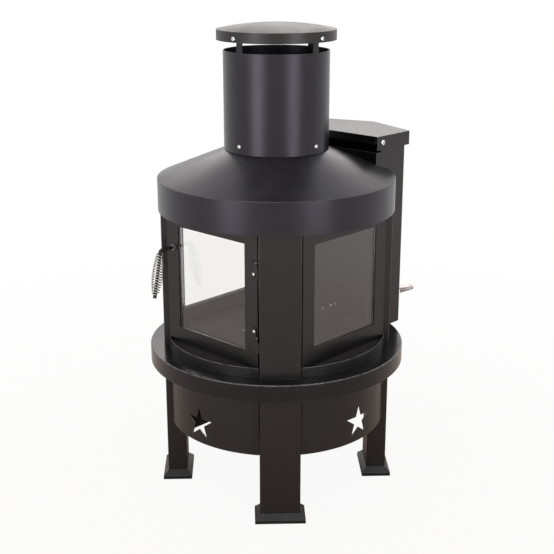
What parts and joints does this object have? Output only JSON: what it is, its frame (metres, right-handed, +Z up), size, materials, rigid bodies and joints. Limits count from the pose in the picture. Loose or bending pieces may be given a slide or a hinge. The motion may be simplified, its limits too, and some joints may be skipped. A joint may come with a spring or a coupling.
{
  "type": "pellet chiminea",
  "caption": "Outdoor pellet fireplace: glazed firebox on posts with a ring shelf, a conical hood and chimney, and a pellet hopper behind",
  "frame": {"origin": "centre line of the round firebox at ground level, on the plane of the four boots' soles", "axes": "+Z up, -Y towards the glazed door, +Y towards the pellet hopper, +X to the right seen from the front"},
  "size_m": [0.6599, 0.724, 1.193],
  "materials": {
    "black_powder_coat": "black satin powder coat on steel sheet",
    "inner_black_steel": "dull heat-proof black, dusty",
    "window_glass": "clear heat-proof glass",
    "zinc_screws": "bright zinc plate",
    "bare_retainer": "bare rolled steel",
    "nickel_spring": "nickel-plated spring wire",
    "bare_stainless": "bare stainless sheet",
    "burnt_steel": "scaled, heat-marked steel",
    "glass_fibre_rope": "woven glass-fibre rope",
    "plain_steel": "plain machined steel"
  },
  "bodies": {
    "stove": {"post_front_right": "black_powder_coat", "post_back_right": "black_powder_coat", "post_back_left": "black_powder_coat", "post_front_left": "black_powder_coat", "boot_front_right": "black_powder_coat", "boot_back_right": "black_powder_coat", "boot_back_left": "black_powder_coat", "boot_front_left": "black_powder_coat", "ring_shelf": "black_powder_coat", "drum_front": "black_powder_coat", "drum_right": "black_powder_coat", "drum_back": "black_powder_coat", "drum_left": "black_powder_coat", "floor_plate": "black_powder_coat", "ash_housing": "black_powder_coat", "fire_pot": "burnt_steel", "pot_grate": "burnt_steel", "feed_chute": "inner_black_steel", "chute_cover": "inner_black_steel", "chute_screws": "zinc_screws", "panel_right": "black_powder_coat", "panel_left": "black_powder_coat", "panel_back": "black_powder_coat", "glass_right": "window_glass", "glass_left": "window_glass", "retainer_right": "bare_retainer", "retainer_left": "bare_retainer", "retainer_screws": "zinc_screws", "door_jamb": "black_powder_coat", "hinge_lugs": "black_powder_coat", "hinge_pins": "plain_steel", "tie_plate": "black_powder_coat", "hood_band": "black_powder_coat", "hood_cone": "black_powder_coat", "flue_collar": "black_powder_coat", "chimney": "black_powder_coat", "chimney_screws": "zinc_screws", "cap_straps": "black_powder_coat", "cap": "black_powder_coat", "cap_screws": "zinc_screws", "hopper_body": "black_powder_coat", "hopper_funnel": "inner_black_steel", "lid_pivots": "zinc_screws"},
    "door": {"door_frame": "black_powder_coat", "door_glass": "window_glass", "door_retainer": "bare_retainer", "door_gasket": "glass_fibre_rope", "door_screws": "zinc_screws", "hinge_leaves": "black_powder_coat", "hinge_screws": "zinc_screws", "latch_bushing": "plain_steel"},
    "latch": {"latch_rod": "black_powder_coat", "latch_grip": "nickel_spring", "latch_cam": "plain_steel", "latch_nut": "zinc_screws"},
    "hopper_lid": {"hopper_lid": "black_powder_coat"},
    "feed_gate": {"feed_gate": "bare_stainless"},
    "ash_drawer": {"ash_drawer": "inner_black_steel"}
  },
  "joints": [
    {"name": "door_swing", "type": "hinge", "parent": "stove", "child": "door", "pos_m": [0.1605, -0.24, 0.56], "axis": [0, 0, 1], "range_deg": [0, 120]},
    {"name": "latch_turn", "type": "hinge", "parent": "door", "child": "latch", "pos_m": [-0.13, -0.25, 0.651], "axis": [0, 1, 0], "range_deg": [0, 90]},
    {"name": "lid_swing", "type": "hinge", "parent": "stove", "child": "hopper_lid", "pos_m": [0, 0.226, 0.889], "axis": [1, 0, 0], "range_deg": [0, 100]},
    {"name": "gate_slide", "type": "slide", "parent": "stove", "child": "feed_gate", "axis": [0, 1, 0], "range_m": [0, 0.04]},
    {"name": "drawer_slide", "type": "slide", "parent": "stove", "child": "ash_drawer", "axis": [0, 1, 0], "range_m": [0, 0.3]}
  ]
}
